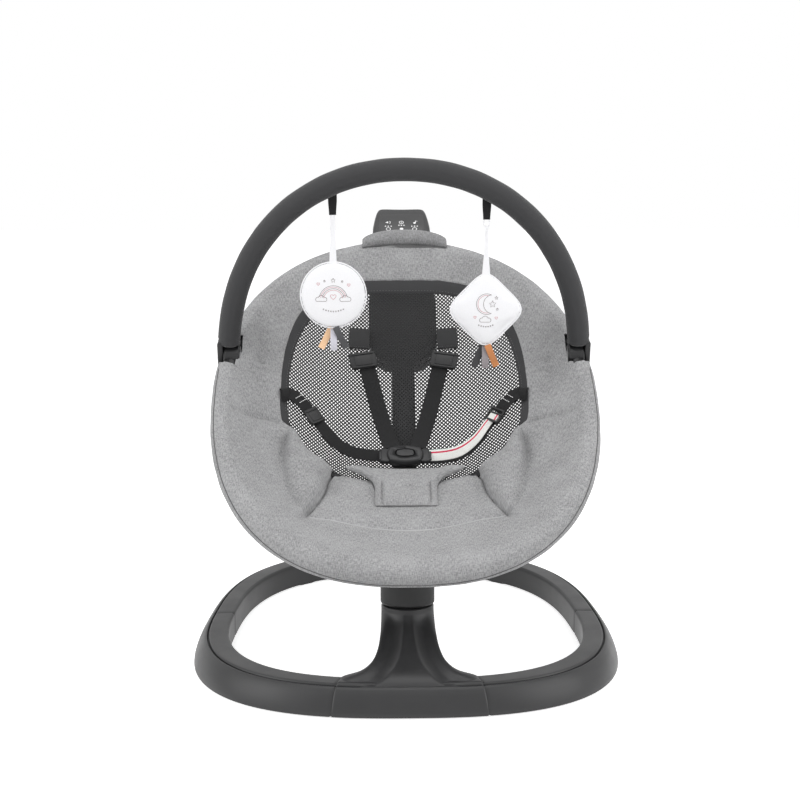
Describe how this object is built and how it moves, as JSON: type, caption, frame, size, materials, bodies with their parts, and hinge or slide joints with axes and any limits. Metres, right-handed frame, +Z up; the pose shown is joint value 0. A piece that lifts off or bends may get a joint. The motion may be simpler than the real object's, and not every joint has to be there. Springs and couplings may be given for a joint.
{
  "type": "baby swing seat",
  "caption": "Electric baby swing: reclined padded seat with mesh back and harness on a swinging column over a ring base, with a padded toy bar.",
  "frame": {"origin": "centre of the base ring on the floor", "axes": "+Z up, -Y the front of the seat, +X to the right seen from the front"},
  "size_m": [0.615, 0.66, 0.7123],
  "materials": {
    "charcoal_plastic": "fine matt texture",
    "black_plastic": "satin",
    "panel_gloss": "gloss",
    "foot_rubber": "matt",
    "steel": "brushed",
    "coil_copper": "enamelled wire",
    "board": "solder mask",
    "grey_fabric": "melange weave",
    "black_fabric": "weave",
    "white_fabric": "smooth cotton",
    "ribbons": "grosgrain ribbon"
  },
  "bodies": {
    "base": {"base_front_housing": "charcoal_plastic", "base_arc_left": "charcoal_plastic", "base_arc_right": "charcoal_plastic", "base_arc_rear": "charcoal_plastic", "foot_front_left": "foot_rubber", "foot_front_right": "foot_rubber", "foot_side_left": "foot_rubber", "foot_side_right": "foot_rubber", "foot_rear_left": "foot_rubber", "foot_rear_right": "foot_rubber", "power_socket": "black_plastic", "pivot_shaft": "steel", "drive_coil": "coil_copper"},
    "seat": {"swing_collar": "charcoal_plastic", "bearing_lower": "steel", "bearing_upper": "steel", "drive_magnet": "steel", "spine_front_shell": "charcoal_plastic", "spine_rear_shell": "charcoal_plastic", "front_bracket": "steel", "control_housing": "charcoal_plastic", "touch_panel": "panel_gloss", "control_board": "board", "speaker": "black_plastic", "frame_tube_front": "steel", "frame_tube_head": "steel", "side_hub_left": "black_plastic", "side_hub_right": "black_plastic", "seat_cover": "grey_fabric", "head_flap": "grey_fabric", "mesh_binding": "black_fabric", "mesh_panel": "black_fabric", "crotch_pad": "grey_fabric", "shoulder_keeper_left": "black_fabric", "shoulder_keeper_right": "black_fabric", "shoulder_adjuster_left": "black_plastic", "shoulder_adjuster_right": "black_plastic", "shoulder_strap_left": "black_fabric", "shoulder_strap_right": "black_fabric", "waist_loop_left": "black_fabric", "waist_loop_right": "black_fabric", "waist_adjuster_left": "black_plastic", "waist_adjuster_right": "black_plastic", "waist_strap_left": "black_fabric", "waist_strap_right": "black_fabric", "buckle_tongue_left": "black_plastic", "buckle_tongue_right": "black_plastic", "buckle_body": "black_plastic"},
    "toy_bar": {"toy_bar_tube": "steel", "toy_bar_sleeve": "black_fabric", "toy_bar_end_left": "black_plastic", "toy_bar_end_right": "black_plastic"},
    "left_hanging_toy": {"left_elastic": "black_fabric", "left_toy": "white_fabric", "left_ribbons": "ribbons"},
    "right_hanging_toy": {"right_elastic": "black_fabric", "right_toy": "white_fabric", "right_ribbons": "ribbons"},
    "release_button": {"buckle_button": "black_plastic"}
  },
  "joints": [
    {"name": "seat_swing", "type": "hinge", "parent": "base", "child": "seat", "pos_m": [0, -0.17, 0.1], "axis": [0, 0.0872, 0.9962], "range_deg": [-12, 12]},
    {"name": "toy_bar_pivot", "type": "hinge", "parent": "seat", "child": "toy_bar", "pos_m": [0, 0.04819, 0.41909], "axis": [1, 0, 0], "range_deg": [-10, 50]},
    {"name": "left_toy_swing", "type": "hinge", "parent": "toy_bar", "child": "left_hanging_toy", "pos_m": [-0.104, -0.00157, 0.65318], "axis": [1, 0, 0], "range_deg": [-52, 18]},
    {"name": "right_toy_swing", "type": "hinge", "parent": "toy_bar", "child": "right_hanging_toy", "pos_m": [0.118, -0.00012, 0.64634], "axis": [1, 0, 0], "range_deg": [-52, 18]},
    {"name": "buckle_button_press", "type": "slide", "parent": "seat", "child": "release_button", "axis": [0, 0.4939, -0.8695], "range_m": [0, 0.0022], "stiffness_N_per_m": 600}
  ]
}
